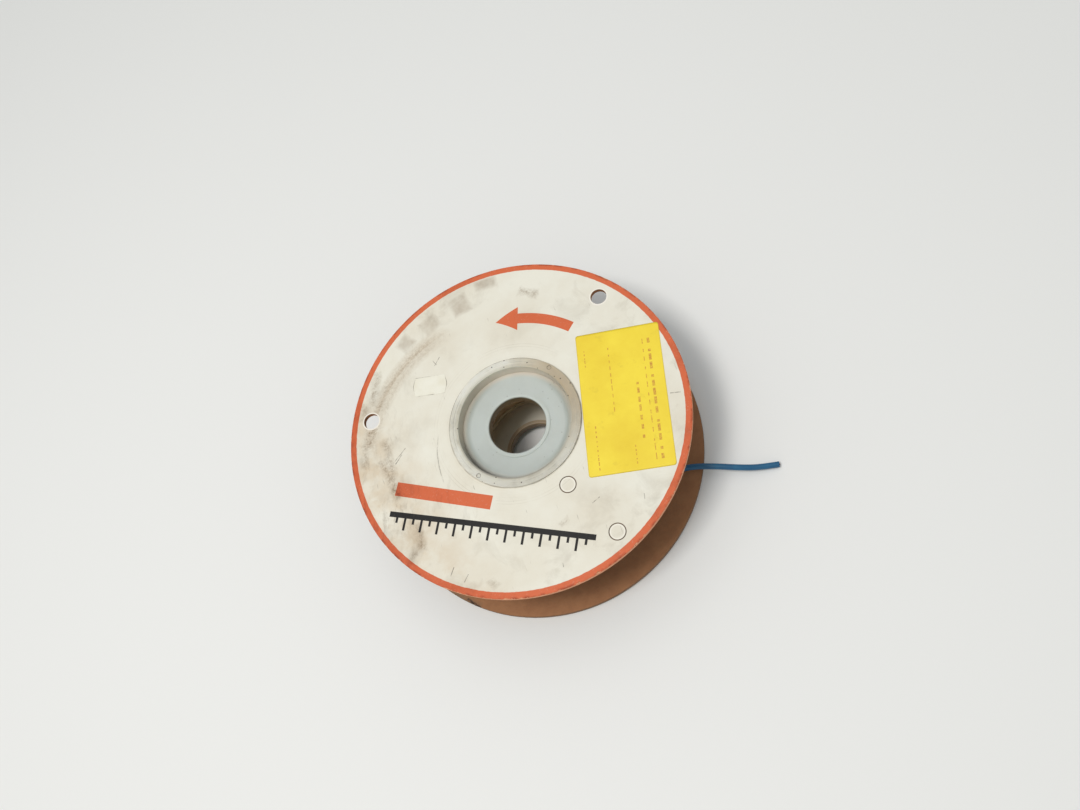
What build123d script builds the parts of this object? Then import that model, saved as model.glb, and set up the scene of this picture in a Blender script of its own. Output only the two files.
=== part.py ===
import os
from math import cos, pi, radians, sin, tan

from build123d import *

# A small cable drum lying flat: two hardboard flanges on a cardboard barrel, held by
# two dished plastic hub bushes, with a winding of thin flex and its free end.
# The axis is +Z, and the origin is on the axis, on the surface that the drum lies on.

# Flanges: board discs with a centre hole for the bush's spigot
flangeRadius = 100.0
flangeThickness = 3.0
flangeGap = 56.0
flangeEdgeBevel = 0.3

# Punched holes: three near the rim, and one nearer the hub
rimHoleInset = 12.0
hubHoleInset = 11.0
holeRadius = 4.75
openHoleAngles = (22.6, 141.6)
closedRimHoleAngle = -82.6
closedHubHoleAngle = -85.2
punchCutWidth = 0.3
punchCutDepth = 0.8
lowerFlangeTurn = 45.0

# Hub bushes: a flat rim on the flange, a shallow dish, a low lip round the bore, and a spigot
dishMouthRadius = 33.3
dishDraft = 0.7
dishDepth = 6.8
dishCornerRadius = 4.6
bushWall = 1.5
spigotLength = 10.0
spigotLead = 0.8
rimWidth = 3.9
rimThickness = 1.2
rimInnerRound = 1.1
rimOuterBevel = 0.4
boreRadius = 16.75
lipWidth = 2.6
lipHeight = 0.5
lipBevel = 0.3
boreRound = 1.2
boreSleeve = 4.0
ejectorMarkRadius = 1.2
ejectorMarkDepth = 0.2
ejectorMarkAngle = 23.4

# Barrel: a straight cardboard tube between the flanges, a push fit on the bushes
spigotClearance = 0.2
tubeWall = 3.0

# Winding: the turns of cable, as one turned solid between the flanges
cableDiameter = 3.6
windingRadius = 77.0
windingClearance = 0.2
turnRelief = 1.4
layerStep = 3.2
outerLayerTurns = 2

# Free end: it leaves the outer layer along a tangent and drops over the lower flange's rim
tailExitAngle = -68.0
tailFirstRun = 14.5
tailChannelClearance = 0.25
tailChannelLength = 38.0

# Papers stuck on the upper flange, placed from the hub bush's rim
paperThickness = 0.2
labelLength = 85.5
labelWidth = 48.0
labelGap = 0.6
labelShift = 3.0
labelAngle = 61.5
labelCorner = 1.5
stickerLength = 21.0
stickerWidth = 12.0
stickerGap = 14.0
stickerDirection = 119.2
stickerAngle = -30.3
stickerCorner = 1.0

# Radii and heights that follow from the sizes above
cableRadius = cableDiameter / 2
spigotRadius = dishMouthRadius + bushWall
rimRadius = spigotRadius + rimWidth
tubeInnerRadius = spigotRadius + spigotClearance
tubeOuterRadius = tubeInnerRadius + tubeWall
lowerFlangeBase = rimThickness
lowerFlangeTop = lowerFlangeBase + flangeThickness
upperFlangeBase = lowerFlangeTop + flangeGap
upperFlangeTop = upperFlangeBase + flangeThickness
rimFace = upperFlangeTop + rimThickness
middleHeight = rimFace / 2


def polar(radius, angle):
    return (radius * cos(radians(angle)), radius * sin(radians(angle)))


os.makedirs("parts", exist_ok=True)

# Upper flange, with the closed holes cut round but left in place on its outer face
rimHoleCircle = flangeRadius - rimHoleInset
hubHoleCircle = rimRadius + hubHoleInset
openHoles = [polar(rimHoleCircle, angle) for angle in openHoleAngles]
closedHoles = [polar(rimHoleCircle, closedRimHoleAngle), polar(hubHoleCircle, closedHubHoleAngle)]
with BuildPart() as top_flange:
    with BuildSketch(Plane.XY.offset(upperFlangeBase)):
        Circle(flangeRadius)
        Circle(tubeInnerRadius, mode=Mode.SUBTRACT)
        with Locations(*openHoles):
            Circle(holeRadius, mode=Mode.SUBTRACT)
    extrude(amount=flangeThickness)
    rimEdges = top_flange.edges().filter_by(GeomType.CIRCLE).group_by(SortBy.RADIUS)[-1]
    chamfer(rimEdges, flangeEdgeBevel)
    with BuildSketch(Plane.XY.offset(upperFlangeTop)):
        with Locations(*closedHoles):
            Circle(holeRadius)
            Circle(holeRadius - punchCutWidth, mode=Mode.SUBTRACT)
    extrude(amount=-punchCutDepth, mode=Mode.SUBTRACT)
top_flange.part.label = "top_flange"
export_step(top_flange.part, "parts/top_flange.step")

# Lower flange, the same punching with its outer face down, its holes not under the upper ones
with BuildPart() as bottom_flange:
    mirror(top_flange.part.rotate(Axis.Z, lowerFlangeTurn), about=Plane.XY.offset(middleHeight))
bottom_flange.part.label = "bottom_flange"
export_step(bottom_flange.part, "parts/bottom_flange.step")

# Barrel tube, its ends on the flanges' inner faces
with BuildPart() as barrel_tube:
    with BuildSketch(Plane.XY.offset(lowerFlangeTop)):
        Circle(tubeOuterRadius)
        Circle(tubeInnerRadius, mode=Mode.SUBTRACT)
    extrude(amount=flangeGap)
barrel_tube.part.label = "barrel_tube"
export_step(barrel_tube.part, "parts/barrel_tube.step")

# Upper hub bush: one moulding, turned from its half section
dishFloor = rimFace - dishDepth
dishFloorRadius = dishMouthRadius - dishDraft
floorUnderside = dishFloor - bushWall
spigotEnd = upperFlangeTop - spigotLength
lipTop = dishFloor + lipHeight
lipRadius = boreRadius + lipWidth
sleeveEnd = floorUnderside - boreSleeve
with BuildPart() as top_hub_bush:
    with BuildSketch(Plane.XZ) as bushSection:
        with BuildLine():
            Polyline(
                (rimRadius, upperFlangeTop),
                (spigotRadius, upperFlangeTop),
                (spigotRadius, spigotEnd + spigotLead),
                (spigotRadius - spigotLead, spigotEnd),
                (spigotRadius - bushWall, spigotEnd),
                (spigotRadius - bushWall, floorUnderside),
                (lipRadius, floorUnderside),
                (lipRadius, sleeveEnd),
                (boreRadius, sleeveEnd),
                (boreRadius, lipTop),
                (lipRadius, lipTop),
                (lipRadius, dishFloor),
                (dishFloorRadius, dishFloor),
                (dishMouthRadius, rimFace),
                (rimRadius, rimFace),
                close=True,
            )
        make_face()
        corners = bushSection.vertices()
        lipCorners = corners.filter_by_position(Axis.Y, lipTop - 0.01, lipTop + 0.01).sort_by(Axis.X)
        fillet(lipCorners[0], boreRound)
        chamfer(lipCorners[-1], lipBevel)
        floorCorner = corners.filter_by_position(Axis.Y, dishFloor - 0.01, dishFloor + 0.01)
        fillet(floorCorner.sort_by(Axis.X)[-1], dishCornerRadius)
        rimCorners = corners.filter_by_position(Axis.Y, rimFace - 0.01, rimFace + 0.01).sort_by(Axis.X)
        fillet(rimCorners[0], rimInnerRound)
        chamfer(rimCorners[-1], rimOuterBevel)
    revolve(axis=Axis.Z)
    with BuildSketch(Plane.XY.offset(rimFace)):
        with PolarLocations(rimRadius - rimWidth / 2, 2, start_angle=ejectorMarkAngle):
            Circle(ejectorMarkRadius)
    extrude(amount=-ejectorMarkDepth, mode=Mode.SUBTRACT)
top_hub_bush.part.label = "top_hub_bush"
export_step(top_hub_bush.part, "parts/top_hub_bush.step")

# Lower hub bush, the same moulding the other way up: its rim is what the drum lies on
with BuildPart() as bottom_hub_bush:
    mirror(top_hub_bush.part, about=Plane.XY.offset(middleHeight))
bottom_hub_bush.part.label = "bottom_hub_bush"
export_step(bottom_hub_bush.part, "parts/bottom_hub_bush.step")

# Turns across the winding, counted from the lower flange
windingWidth = flangeGap - 2 * windingClearance
windingBase = lowerFlangeTop + windingClearance
windingTop = windingBase + windingWidth
windingInnerRadius = tubeOuterRadius + windingClearance
turnCount = int(windingWidth / cableDiameter)
turnPitch = windingWidth / turnCount
tailHeight = windingBase + (outerLayerTurns - 0.5) * turnPitch

# Route of the free end, as points of its centre line
tailStart = polar(windingRadius - cableRadius, tailExitAngle)
tailDirection = polar(1, tailExitAngle + 90)
tailSecond = (tailStart[0] + tailFirstRun * tailDirection[0], tailStart[1] + tailFirstRun * tailDirection[1])
tailRoute = [
    (*tailStart, tailHeight),
    (*tailSecond, tailHeight),
    (55.0, -60.8, tailHeight),
    (66.6, -64.0, tailHeight),
    (78.2, -72.6, tailHeight),
    (88.6, -80.6, tailHeight - 2.6),
    (99.2, -87.4, tailHeight - 6.3),
    (109.6, -92.2, cableRadius + 0.2),
]

# Winding: a crest for each turn, full layers and the few turns that lie over them
with BuildPart() as cable_winding:
    with BuildSketch(Plane.XZ):
        with BuildLine():
            outline = [(windingInnerRadius, windingBase)]
            for turn in range(turnCount):
                crest = windingRadius if turn < outerLayerTurns else windingRadius - layerStep
                low = windingBase + turn * turnPitch
                outline += [
                    (crest - turnRelief, low),
                    (crest, low + turnPitch / 2),
                    (crest - turnRelief, low + turnPitch),
                ]
            outline.append((windingInnerRadius, windingTop))
            Polyline(*dict.fromkeys(outline), close=True)
        make_face()
    revolve(axis=Axis.Z)
    with BuildSketch(Plane(origin=tailRoute[0], z_dir=(*tailDirection, 0))):
        Circle(cableRadius + tailChannelClearance)
    extrude(amount=tailChannelLength, mode=Mode.SUBTRACT)
cable_winding.part.label = "cable_winding"
export_step(cable_winding.part, "parts/cable_winding.step")

# Free end: straight runs joined by arcs that are as large as the runs allow
points = [Vector(*point) for point in tailRoute]
tailRadii = []
for before, corner, after in zip(points, points[1:], points[2:]):
    turnAngle = (corner - before).get_angle(after - corner)
    shorterRun = min((corner - before).length, (after - corner).length)
    tailRadii.append(0.45 * shorterRun / tan(radians(turnAngle) / 2))
print("free end radii", [round(radius, 1) for radius in tailRadii])
with BuildPart() as cable_tail:
    with BuildLine() as tailPath:
        FilletPolyline(*points, radius=tailRadii)
    with BuildSketch(Plane(origin=points[0], z_dir=(*tailDirection, 0))):
        Circle(cableRadius)
    sweep(path=tailPath.wires()[0])
cable_tail.part.label = "cable_tail"
export_step(cable_tail.part, "parts/cable_tail.step")
tailLength = tailPath.wires()[0].length
print("free end length", round(tailLength, 1))
print("volume over section times length", round(cable_tail.part.volume / (pi * cableRadius**2 * tailLength), 4))

# Paper label, its long edge beside the hub bush's rim
labelAcross = polar(rimRadius + labelGap + labelWidth / 2, labelAngle - 90)
labelAlong = polar(labelShift, labelAngle)
labelCentre = (labelAcross[0] + labelAlong[0], labelAcross[1] + labelAlong[1], upperFlangeTop)
with BuildPart() as paper_label:
    with BuildSketch(Plane(origin=labelCentre, x_dir=(*polar(1, labelAngle), 0))):
        RectangleRounded(labelLength, labelWidth, labelCorner)
    extrude(amount=paperThickness)
paper_label.part.label = "paper_label"
export_step(paper_label.part, "parts/paper_label.step")

# Small price sticker on the other side of the hub
stickerCentre = (*polar(rimRadius + stickerGap + stickerWidth / 2, stickerDirection), upperFlangeTop)
with BuildPart() as price_sticker:
    with BuildSketch(Plane(origin=stickerCentre, x_dir=(*polar(1, stickerAngle), 0))):
        RectangleRounded(stickerLength, stickerWidth, stickerCorner)
    extrude(amount=paperThickness)
price_sticker.part.label = "price_sticker"
export_step(price_sticker.part, "parts/price_sticker.step")
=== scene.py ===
from math import cos, pi, radians, sin

import bpy
from mathutils import Matrix, Vector, noise


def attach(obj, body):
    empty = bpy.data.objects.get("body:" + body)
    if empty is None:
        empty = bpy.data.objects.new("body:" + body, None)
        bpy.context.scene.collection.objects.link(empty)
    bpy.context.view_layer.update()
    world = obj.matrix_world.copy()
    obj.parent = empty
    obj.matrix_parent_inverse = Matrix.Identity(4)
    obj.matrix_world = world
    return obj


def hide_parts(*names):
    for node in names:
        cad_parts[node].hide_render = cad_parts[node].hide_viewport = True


noise.seed_set(7)

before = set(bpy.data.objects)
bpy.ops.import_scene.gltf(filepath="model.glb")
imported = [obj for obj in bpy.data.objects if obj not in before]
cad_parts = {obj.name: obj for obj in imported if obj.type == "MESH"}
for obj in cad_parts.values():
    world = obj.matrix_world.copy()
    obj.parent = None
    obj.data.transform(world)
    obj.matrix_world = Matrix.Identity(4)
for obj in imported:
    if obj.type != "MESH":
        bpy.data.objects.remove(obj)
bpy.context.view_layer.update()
mm = 0.001
print("frame loaded", sorted(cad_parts))


# sRGB hex to the linear values that the shaders take
def linear(code):
    parts = [int(code[start:start + 2], 16) / 255 for start in (1, 3, 5)]
    return tuple(part / 12.92 if part <= 0.04045 else ((part + 0.055) / 1.055) ** 2.4 for part in parts) + (1.0,)


# A texture scale that gives features of about this many millimetres, on coordinates in metres
def grain(millimetres):
    return 1000 / millimetres


# Inputs by socket name or number, each a value, a hex colour, or an output of another node
def setInputs(tree, node, inputs):
    for socket, value in inputs.items():
        if isinstance(value, bpy.types.NodeSocket):
            tree.links.new(value, node.inputs[socket])
        else:
            node.inputs[socket].default_value = linear(value) if isinstance(value, str) else value


# One node with its inputs and settings; gives the first output that the settings leave open
def addNode(tree, kind, inputs, **settings):
    node = tree.nodes.new("ShaderNode" + kind)
    for name, value in settings.items():
        setattr(node, name, value)
    setInputs(tree, node, inputs)
    return next(output for output in node.outputs if output.enabled)


mixColour = {"data_type": "RGBA"}
darken = {"data_type": "RGBA", "blend_type": "MULTIPLY"}


# A material with its tree, its shader and the part's own coordinates
def newMaterial(name):
    material = bpy.data.materials.new(name)
    material.use_nodes = True
    tree = material.node_tree
    place = addNode(tree, "TexCoord", {}).node.outputs["Object"]
    return material, tree, tree.nodes["Principled BSDF"], place


# Where a point is on the drum: on the flat, its distance from the axis, and its x, y and z
def drumPlace(tree, place):
    flat = addNode(tree, "VectorMath", {0: place, 1: (1, 1, 0)}, operation="MULTIPLY")
    radius = addNode(tree, "VectorMath", {0: flat}, operation="LENGTH")
    return flat, radius, *addNode(tree, "SeparateXYZ", {0: place}).node.outputs


# Two colours that change over in clouds of about this many millimetres, and the clouds for other uses
def mottled(tree, place, size, low, high, first, second, **cloudInputs):
    clouds = addNode(tree, "TexNoise", {"Vector": place, "Scale": grain(size), **cloudInputs})
    share = addNode(tree, "MapRange", {0: clouds, 1: low, 2: high})
    return addNode(tree, "Mix", {0: share, 6: first, 7: second}, **mixColour), clouds


# Uneven relief with features and a depth of about so many millimetres, over the relief given
def unevenRelief(tree, place, size, depth, strength, below=None, **grainInputs):
    height = addNode(tree, "TexNoise", {"Vector": place, "Scale": grain(size), **grainInputs})
    under = {} if below is None else {"Normal": below}
    return addNode(tree, "Bump", {"Height": height, "Strength": strength, "Distance": depth * mm, **under})


# Mask of a zone: it opens, for each distance in turn, from its first millimetre value to its second
def zoneMask(tree, strength, *ramps):
    mask = strength
    for distance, start, full in ramps:
        mask = addNode(tree, "MapRange", {0: distance, 1: start * mm, 2: full * mm, 4: mask})
    return mask


def polar(radius, angle):
    return (radius * cos(radians(angle)), radius * sin(radians(angle)))


# From 0 to 1, slow at both ends
def eased(share):
    share = min(max(share, 0), 1)
    return share * share * (3 - 2 * share)


# Faces all round from each ring of points to the next, and from the last to the first where it is closed
def ringFaces(first, rings, sides, closed=False):
    faces = []
    for ring in range(rings if closed else rings - 1):
        here = first + ring * sides
        there = first + (ring + 1) % rings * sides
        for side in range(sides):
            after = (side + 1) % sides
            faces.append((here + side, here + after, there + after, there + side))
    return faces


def newPiece(name, vertices, faces, material):
    mesh = bpy.data.meshes.new(name)
    mesh.from_pydata(vertices, [], faces)
    mesh.validate()
    mesh.materials.append(material)
    for polygon in mesh.polygons:
        polygon.use_smooth = True
    piece = bpy.data.objects.new(name, mesh)
    bpy.context.collection.objects.link(piece)
    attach(piece, "root")
    return piece


# Camera, at the photograph's viewing angle
cameraView = {
    "lens": 33.33,                     # 1000 px for a frame 1080 px wide, on a 36 mm sensor
    "place": (17.1, -244.8, 572.0),    # mm
    "pitch": 64.38,                    # degrees below level
    "roll": -35.74,
}
pitch = radians(cameraView["pitch"])
roll = radians(cameraView["roll"])
levelRight = Vector((1, 0, 0))
levelUp = Vector((0, sin(pitch), cos(pitch)))
forward = Vector((0, cos(pitch), -sin(pitch)))
right = cos(roll) * levelRight + sin(roll) * levelUp
up = -sin(roll) * levelRight + cos(roll) * levelUp
cameraData = bpy.data.cameras.new("camera")
cameraData.sensor_fit = "HORIZONTAL"
cameraData.sensor_width = 36
cameraData.lens = cameraView["lens"]
cameraData.clip_start = 0.01
camera = bpy.data.objects.new("camera", cameraData)
turn = Matrix((right, up, -forward)).transposed()
camera.matrix_world = Matrix.Translation(Vector(cameraView["place"]) * mm) @ turn.to_4x4()
bpy.context.collection.objects.link(camera)
bpy.context.scene.camera = camera
print("camera set")

# Cable sheath: PVC extruded over the wire, an even satin blue with faint drag marks
cable = {
    "diameter": 3.6,
    "sheathColour": "#175880",
    "paleColour": "#226B92",
    "strandColour": "#B8673A",
    "strandDull": "#8A4A2C",
    "strandRadius": 0.11,
    "strandLength": 0.6,
    "strandSides": 8,
    "strandRing": 2.05,      # radius of the first ring of strands, in strand radii
    "strandTurn": 7,         # degrees between the two rings
    "strandHidden": 1.0,     # how far back in the sheath they start
    "strandBevel": 0.04,
    # route of the free end, as in the part's source
    "tailExitAngle": -68.0,
    "tailCentreRadius": 75.2,
    "tailFirstRun": 14.5,
    "tailHeight": 9.96,
}
sheath, tree, shader, place = newMaterial("pvc_sheath_extruded")
colour, drag = mottled(tree, place, 9, 0.45, 0.75, cable["sheathColour"], cable["paleColour"], Detail=3)
setInputs(tree, shader, {
    "Base Color": colour,
    "Roughness": addNode(tree, "MapRange", {0: drag, 3: 0.34, 4: 0.5}),
    "Normal": unevenRelief(tree, place, 0.8, 0.05, 0.25, Detail=2),
    "IOR": 1.53,
})

# Stranded copper, drawn: bright metal that has gone dull in places, bare at the cut end only
copper, tree, shader, place = newMaterial("copper_strand_drawn")
dull = addNode(tree, "TexNoise", {"Vector": place, "Scale": grain(0.3), "Detail": 2})
setInputs(tree, shader, {
    "Metallic": 1.0,
    "Base Color": addNode(tree, "Mix", {0: dull, 6: cable["strandColour"], 7: cable["strandDull"]}, **mixColour),
    "Roughness": addNode(tree, "MapRange", {0: dull, 3: 0.25, 4: 0.5}),
})

# Free end: a smooth line through the same route as the CAD tube
tailStart = polar(cable["tailCentreRadius"], cable["tailExitAngle"])
leave = polar(cable["tailFirstRun"], cable["tailExitAngle"] + 90)
tailHeight = cable["tailHeight"]
tailRoute = [
    (*tailStart, tailHeight),
    (tailStart[0] + leave[0], tailStart[1] + leave[1], tailHeight),
    (55.0, -60.8, tailHeight),
    (66.6, -64.0, tailHeight),
    (78.2, -72.6, tailHeight),
    (88.6, -80.6, tailHeight - 2.6),
    (99.2, -87.4, tailHeight - 6.3),
    (109.6, -92.2, 2.0),
]
tailLine = bpy.data.curves.new("cable_free_end", "CURVE")
tailLine.dimensions = "3D"
tailLine.bevel_depth = cable["diameter"] / 2 * mm
tailLine.bevel_resolution = 4
tailLine.use_fill_caps = True
tailLine.resolution_u = 10
spline = tailLine.splines.new("NURBS")
spline.points.add(len(tailRoute) - 1)
for point, spot in zip(spline.points, tailRoute):
    point.co = (*(Vector(spot) * mm), 1)
spline.order_u = 3
spline.use_endpoint_u = True
tailLine.materials.append(sheath)
tail = bpy.data.objects.new("cable_free_end", tailLine)
bpy.context.collection.objects.link(tail)
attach(tail, "root")
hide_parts("cable_tail")

# Strands: one, six round it and twelve round those, just out of the sheath's cut end
endAlong = (Vector(tailRoute[-1]) - Vector(tailRoute[-2])).normalized()
endAside = endAlong.cross(Vector((0, 0, 1))).normalized()
endUp = endAside.cross(endAlong)
strandSpots = [(0, 0)]
strandRing = cable["strandRing"] * cable["strandRadius"]
strandSpots += [polar(strandRing, 60 * step) for step in range(6)]
strandSpots += [polar(2 * strandRing, 30 * step + cable["strandTurn"]) for step in range(12)]
sides = cable["strandSides"]
vertices = []
faces = []
for aside, above in strandSpots:
    first = len(vertices)
    reach = cable["strandLength"] * (0.7 + 0.3 * noise.random())
    for along, shrink in ((-cable["strandHidden"], 1.0), (reach - cable["strandBevel"], 1.0), (reach, 0.7)):
        for side in range(sides):
            ringX, ringY = polar(cable["strandRadius"] * shrink, 360 / sides * side)
            spot = Vector(tailRoute[-1]) + along * endAlong + (aside + ringX) * endAside + (above + ringY) * endUp
            vertices.append(spot * mm)
    faces += ringFaces(first, 3, sides)
    faces.append(tuple(first + 2 * sides + side for side in range(sides)))
strands = newPiece("cable_free_end_strands", vertices, faces, copper)
print("free end made")

# Winding: one long tube that runs down a full layer and back over its last turns
winding = {
    "bottom": 4.4,
    "top": 60.0,
    "innerRadius": 38.2,
    "turns": 15,
    "overTurns": 1.95,       # wound back over the full layer
    "outerLayer": 75.2,      # centre of the cable in the layer that the free end leaves
    "fullLayer": 72.0,
    "layerStep": 3.2,
    "core": 71.4,            # what the full layer lies on
    "coreSteps": 96,
    "stepStart": 0.79,       # of a turn, where it starts to step down beside the last one
    "stepSpan": 0.14,
    "stepJitter": 0.05,
    "riseSpan": 0.12,        # of a turn, in which it comes up a layer
    "overStepStart": 0.8,    # the same for the step back up
    "overStepSpan": 0.18,
    "stepsPerTurn": 90,
    "sides": 10,
    "sway": 0.16,
    "settle": 0.25,          # turns at each end in which the sway dies away
    "edgeTurns": 0.6,        # turns beside a flange, which it holds level
    "edgeSway": 0.3,
}
windingPitch = (winding["top"] - winding["bottom"]) / winding["turns"]
lowestTurn = winding["bottom"] + windingPitch / 2
highestTurn = winding["top"] - windingPitch / 2
wholeTurns = winding["turns"] + winding["overTurns"]


def windingSpot(turnsDone):
    over = turnsDone - winding["turns"]
    if over < 0:
        # each turn lies level, and steps down beside the last one over about a seventh of a turn
        turn = int(turnsDone)
        stepStart = winding["stepStart"] + winding["stepJitter"] * noise.noise((turn * 1.7, 3.1, 0.4))
        down = min(turn + eased((turnsDone - turn - stepStart) / winding["stepSpan"]), winding["turns"] - 1)
        # it comes up through the layer below just under the upper flange
        radius = winding["fullLayer"] - winding["layerStep"] * (1 - eased(turnsDone / winding["riseSpan"]))
        height = highestTurn - windingPitch * down
    else:
        climb = eased(over / winding["riseSpan"])
        radius = winding["fullLayer"] + (winding["outerLayer"] - winding["fullLayer"]) * climb
        height = lowestTurn + windingPitch * eased((over - winding["overStepStart"]) / winding["overStepSpan"])
    angle = cable["tailExitAngle"] - 360 * (wholeTurns - turnsDone)
    # hand-laid turns wander a little, and least where the free end leaves
    settle = winding["settle"]
    sway = winding["sway"] * min(1, (wholeTurns - turnsDone) / settle) * min(1, abs(turnsDone - 0.02) / settle)
    x, y = polar(1.1, angle)
    radius -= sway * abs(noise.noise((x * 1.7, y * 1.7, turnsDone * 0.9)))
    bob = sway * noise.noise((x * 1.3 + 7, y * 1.3, turnsDone * 0.7))
    free = winding["edgeTurns"] < turnsDone < winding["turns"] - winding["edgeTurns"]
    height += bob * (1 if free else winding["edgeSway"])
    return radius, angle, height


vertices = []
sides = winding["sides"]
steps = int(wholeTurns * winding["stepsPerTurn"])
for step in range(steps + 1):
    radius, angle, height = windingSpot(wholeTurns * step / steps)
    for side in range(sides):
        out, rise = polar(cable["diameter"] / 2, 360 * side / sides)
        x, y = polar(radius + out, angle)
        vertices.append((x * mm, y * mm, (height + rise) * mm))
faces = ringFaces(0, steps + 1, sides)
faces.append(tuple(range(sides)))
faces.append(tuple(steps * sides + side for side in reversed(range(sides))))
# the layers under it, as a plain ring from the barrel out
faces += ringFaces(len(vertices), winding["coreSteps"], 4, closed=True)
for step in range(winding["coreSteps"]):
    for edge, level in (("innerRadius", "top"), ("core", "top"), ("core", "bottom"), ("innerRadius", "bottom")):
        x, y = polar(winding[edge], 360 * step / winding["coreSteps"])
        vertices.append((x * mm, y * mm, winding[level] * mm))
woundCable = newPiece("cable_turns", vertices, faces, sheath)
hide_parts("cable_winding")
print("winding made")

# Hardboard: pressed wood fibre, matt brown, a smooth skin with loose fibre wherever it is cut
board = {
    "radius": 100.0,
    "edgeStrip": 2.0,        # what counts as edge from above
    "upperTop": 63.2,
    "lowerTop": 4.2,
    "brown": "#A67650",
    "darkBrown": "#996A47",
    "cutEdge": "#8A6749",
    "cutEdgeDark": "#6E5038",
    # the lower flange's rim has split and greyed at the front left; both thin out down the cut edge
    "frayed": {"box": (-88.0, -48.4, 20.0, 4.6, -61.0), "colour": "#6E604E", "blur": 2.2,
               "strength": 0.9, "least": 0.315, "thinFrom": 0.4, "thinTo": 3.0},
    "split": {"box": (-83.6, -53.4, 10.0, 1.3, -66.7), "colour": "#2E2014", "blur": 0.35,
              "strength": 0.95, "least": 0.0, "thinFrom": 0.2, "thinTo": 1.6},
    "waver": 1.5,            # how far their edges wander, mm
}


def boardColour(tree, place, cutZone, cutEdge, cutEdgeDark):
    skin, _ = mottled(tree, place, 7, 0.35, 0.68, board["darkBrown"], board["brown"], Detail=6, Roughness=0.65)
    layers = addNode(tree, "VectorMath", {0: place, 1: (1, 1, 4)}, operation="MULTIPLY")
    cut, _ = mottled(tree, layers, 1.6, 0.3, 0.7, cutEdgeDark, cutEdge, Detail=5)
    return addNode(tree, "Mix", {0: cutZone, 6: skin, 7: cut}, **mixColour)


# Printed face: white emulsion with an orange rim ring, screen printed, satin and scuffed
printedFace = {
    "white": "#E6E5DA",
    "warmWhite": "#DCD7C8",
    "orange": "#D26841",
    "black": "#1A1A1B",
    "blur": 0.06,            # of the print's edges
    # dirt, which darkens the print under it; the grime tone also paints the contact shade against the hub bush's rim
    "grime": "#9E9386",
    "streak": "#756658",
    "stain": "#8F775D",
    "handling": "#DEC3A3",
    "patch": "#BAACA0",
    "ringEdgeDark": "#AC8A70",
    "scratch": "#453D35",
    "waver": 2.5,            # how far the marks' edges wander, mm
    "ringInner": 96.3,
    "ringRagged": 0.5,
    "ringOverEdge": 0.3,
    "hubRim": 38.5,          # where the hub bush's rim ends on it
    # ink dust has turned the board's cut edge a pale peach
    "edge": "#EDB08C",
    "edgeDark": "#D9946F",
    # a plain bar, a graduated rule and an unwinding arrow stand where the real face has print
    # boxes here are x, y, length, width and angle
    "bar": (-56.5, -11.4, 58.0, 8.0, -45.0),
    "rule": (-43.6, -42.2, 120.0, 3.2, -43.0),
    "ticks": (-46.9, -45.7, 118.2, 7.4, -43.0),
    "tickPitch": 5.0,
    "tickWidth": 1.4,
    "arrow": {"radius": 64.5, "width": 6.5, "start": 26.0, "end": 56.0, "head": 68.0, "headWidth": 15.0},
    # holes in the CAD flange: two open, two cut round but not pushed out
    "openHoles": ((81.2, 33.8), (-69.0, 54.7)),
    "closedHoles": ((11.3, -87.3), (4.2, -49.5)),
    "holeRadius": 4.75,
    "liftedPrint": "#F1EDE4",
    # the closed holes' cut: a painted highlight inside it and painted shade in it
    "cutHighlight": "#F3F0E6",
    "cutShade": "#5B5348",
    # marks of handling, seen on the real face: four pale brown patches inside the ring
    "patches": (
        (33.0, 86.5, 13.0, 6.5, -22.0),
        (13.0, 84.5, 11.0, 12.0, -8.0),
        (-8.5, 85.5, 10.5, 9.5, 6.0),
        (-27.0, 84.5, 9.0, 9.0, 20.0),
    ),
    # a rub that drifts outwards as it follows the rim on the left
    "rub": {"radius": 76.0, "from": 101.0, "to": 153.0, "driftPerDegree": 0.23, "width": 14.0},
    # dirt in soft spots
    "stains": (
        (-57.2, 70.8, 20.0, 2.8, -127.0),
        (-75.2, 46.0, 11.0, 5.0, -132.0),
        (-82.5, 37.5, 12.0, 2.0, -125.0),
        (-70.9, 29.4, 17.0, 2.6, -103.0),
        (-74.8, 17.2, 10.0, 2.2, -115.0),
        (-77.0, 16.0, 26.0, 4.0, -96.0),
        (-72.6, 46.6, 9.0, 2.6, -136.0),
        (-70.0, 62.0, 9.0, 2.2, -128.0),
        (-79.5, -24.0, 14.0, 3.0, -112.0),
        (-88.6, -31.0, 7.0, 2.6, -137.0),
        (-58.9, -70.7, 3.4, 1.6, -82.0),
        (-8.9, -65.1, 3.6, 0.9, -177.0),
        (50.4, 64.1, 9.0, 3.0, -50.0),
    ),
    # short scratches through the print
    "scratches": (
        (-64.9, 25.5, 9.5, 0.34, -162.0),
        (-67.1, 23.6, 6.5, 0.42, -155.0),
        (-17.2, 61.9, 6.0, 0.3, -150.0),
        (-18.9, 62.0, 3.6, 0.3, -81.0),
        (-74.3, -51.5, 5.0, 0.4, -141.0),
        (-69.7, -59.3, 4.8, 0.34, -150.0),
        (11.8, -66.1, 5.0, 0.34, -174.0),
        (-22.3, -84.9, 2.0, 0.4, -116.0),
        (33.8, -80.0, 3.2, 0.3, -119.0),
        (81.2, -42.6, 5.6, 0.42, -33.0),
    ),
    # a long curved scuff left of the hub
    "arcScuff": {"centre": (6.5, -15.5), "radius": 59.7, "width": 0.5, "lowest": -6.0, "highest": 22.0},
}


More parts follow.
